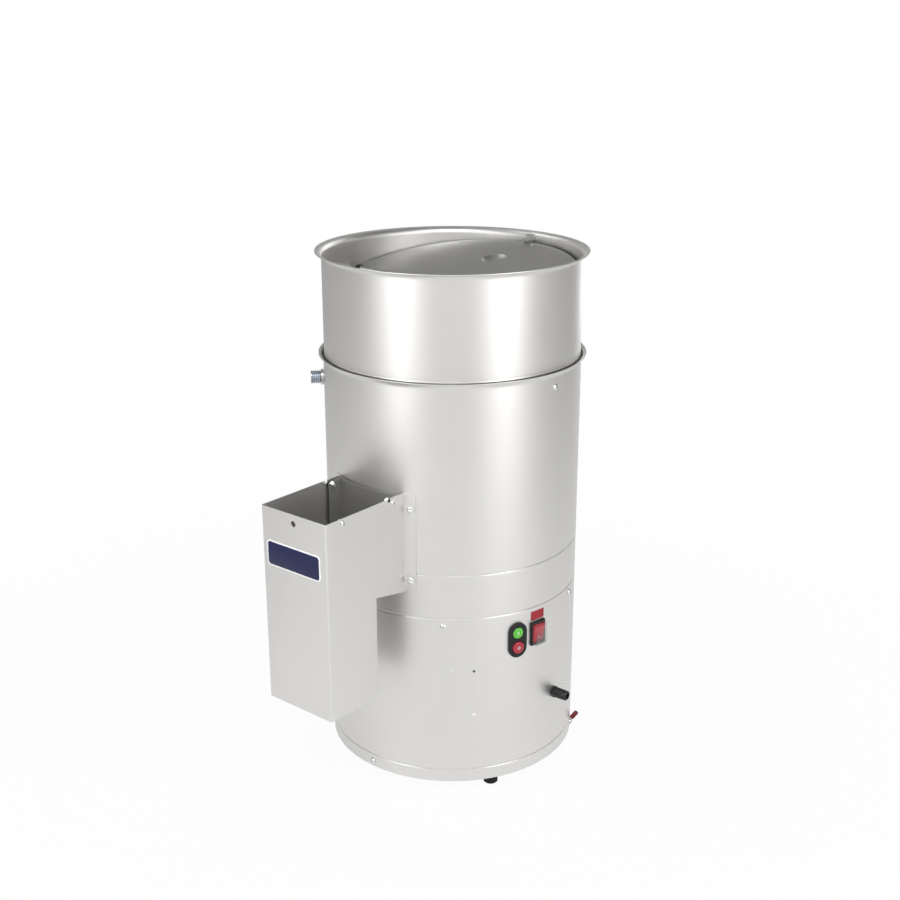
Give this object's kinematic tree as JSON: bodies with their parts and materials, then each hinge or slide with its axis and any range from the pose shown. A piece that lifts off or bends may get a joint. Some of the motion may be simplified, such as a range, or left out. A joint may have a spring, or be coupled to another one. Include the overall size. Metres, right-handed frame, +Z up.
{
  "type": "electric potato peeler",
  "caption": "Upright stainless drum peeler on a motor casing, with a flared loading tube, a tilting flap, an abrasive disc and a square discharge chute.",
  "frame": {"origin": "middle of the peeler's footprint on the floor; the drum's axis is at x = -8.3 mm, y = 51.5 mm", "axes": "+Z up along the drum's axis, -Y towards the discharge chute, +X towards the cable gland"},
  "size_m": [0.4035, 0.5522, 0.7663],
  "materials": {
    "stainless": "satin stainless sheet with fine grain",
    "lid_steel": "satin stainless sheet",
    "screw_steel": "bright plated steel",
    "dark_steel": "dark plated steel",
    "cast": "as-cast aluminium",
    "motor_paint": "grey paint",
    "iron": "grey cast iron",
    "abrasive": "grit in resin",
    "rubber": "matt black rubber",
    "black_plastic": "matt black moulding",
    "green_plastic": "glossy green",
    "red_plastic": "glossy red",
    "clear_plastic": "clear soft cover",
    "blue_plate": "dark blue printed foil, bare",
    "cream_plastic": "cream moulding"
  },
  "bodies": {
    "housing": {"feet": "rubber", "foot_studs": "screw_steel", "base_ring": "stainless", "casing_screws": "screw_steel", "motor_casing": "stainless", "pan": "stainless", "drum": "stainless", "drum_liner": "abrasive", "collar_seal": "rubber", "loading_tube": "stainless", "lid_pivots": "black_plastic", "lid_stop": "screw_steel", "chute": "stainless", "chute_bolts": "screw_steel", "chute_screw": "screw_steel", "name_plate": "blue_plate", "door_seal": "rubber", "door_pivots": "screw_steel", "door_bushes": "black_plastic", "water_inlet": "screw_steel", "inlet_nuts": "dark_steel", "spray_nozzle": "screw_steel", "drain_spout": "stainless", "shaft_seal": "rubber", "bearings": "screw_steel", "bearing_housing": "iron", "housing_bolts": "screw_steel", "drive_belt": "rubber", "motor_body": "motor_paint", "motor_fan_cover": "motor_paint", "motor_plate": "dark_steel", "motor_hangers": "screw_steel", "button_bezel": "black_plastic", "switch_body": "black_plastic", "rocker_housing": "black_plastic", "rocker_cover": "clear_plastic", "cable_gland": "black_plastic", "gland_nut": "black_plastic", "earth_terminal": "screw_steel", "terminal_sleeve": "red_plastic", "electrics_plate": "dark_steel", "contactor": "cream_plastic", "electrics_studs": "screw_steel"},
    "lid": {"lid_rear_wing": "lid_steel", "lid_front_wing": "lid_steel", "lid_rod": "screw_steel", "lid_counterweight": "screw_steel", "lid_bumper": "rubber", "lid_bumper_screw": "screw_steel"},
    "door": {"outlet_door": "lid_steel"},
    "disc": {"disc_plate": "cast", "disc_abrasive": "abrasive", "disc_cap": "stainless", "disc_shaft": "screw_steel", "driven_pulley": "iron"},
    "rotor": {"motor_shaft": "screw_steel", "motor_pulley": "iron"},
    "start_button": {"green_button": "green_plastic"},
    "stop_button": {"red_button": "red_plastic"},
    "mains_rocker": {"rocker": "red_plastic"}
  },
  "joints": [
    {"name": "disc_spin", "type": "hinge", "parent": "housing", "child": "disc", "pos_m": [-0.0083, 0.05153, 0.24], "axis": [0, 0, 1], "continuous": true},
    {"name": "motor_spin", "type": "hinge", "parent": "housing", "child": "rotor", "pos_m": [-0.11355, 0.08983, 0.184], "axis": [0, 0, 1], "continuous": true},
    {"name": "lid_tilt", "type": "hinge", "parent": "housing", "child": "lid", "pos_m": [-0.0083, 0.05153, 0.715], "axis": [-1, 0, 0], "range_deg": [0, 80]},
    {"name": "door_swing", "type": "hinge", "parent": "housing", "child": "door", "pos_m": [-0.0083, -0.14847, 0.457], "axis": [-1, 0, 0], "range_deg": [0, 75]},
    {"name": "start_press", "type": "slide", "parent": "housing", "child": "start_button", "axis": [-0.9336, 0.3584, 0], "range_m": [0, 0.0025], "stiffness_N_per_m": 800, "springref_m": -0.001},
    {"name": "stop_press", "type": "slide", "parent": "housing", "child": "stop_button", "axis": [-0.9336, 0.3584, 0], "range_m": [0, 0.0025], "stiffness_N_per_m": 800, "springref_m": -0.001},
    {"name": "rocker_tilt", "type": "hinge", "parent": "housing", "child": "mains_rocker", "pos_m": [0.17425, 0.01999, 0.2394], "axis": [-0.1702, -0.9854, 0], "range_deg": [0, 16]}
  ],
  "couplings": [
    {"joint": "motor_spin", "follows": "disc_spin", "ratio": 3.9474}
  ]
}
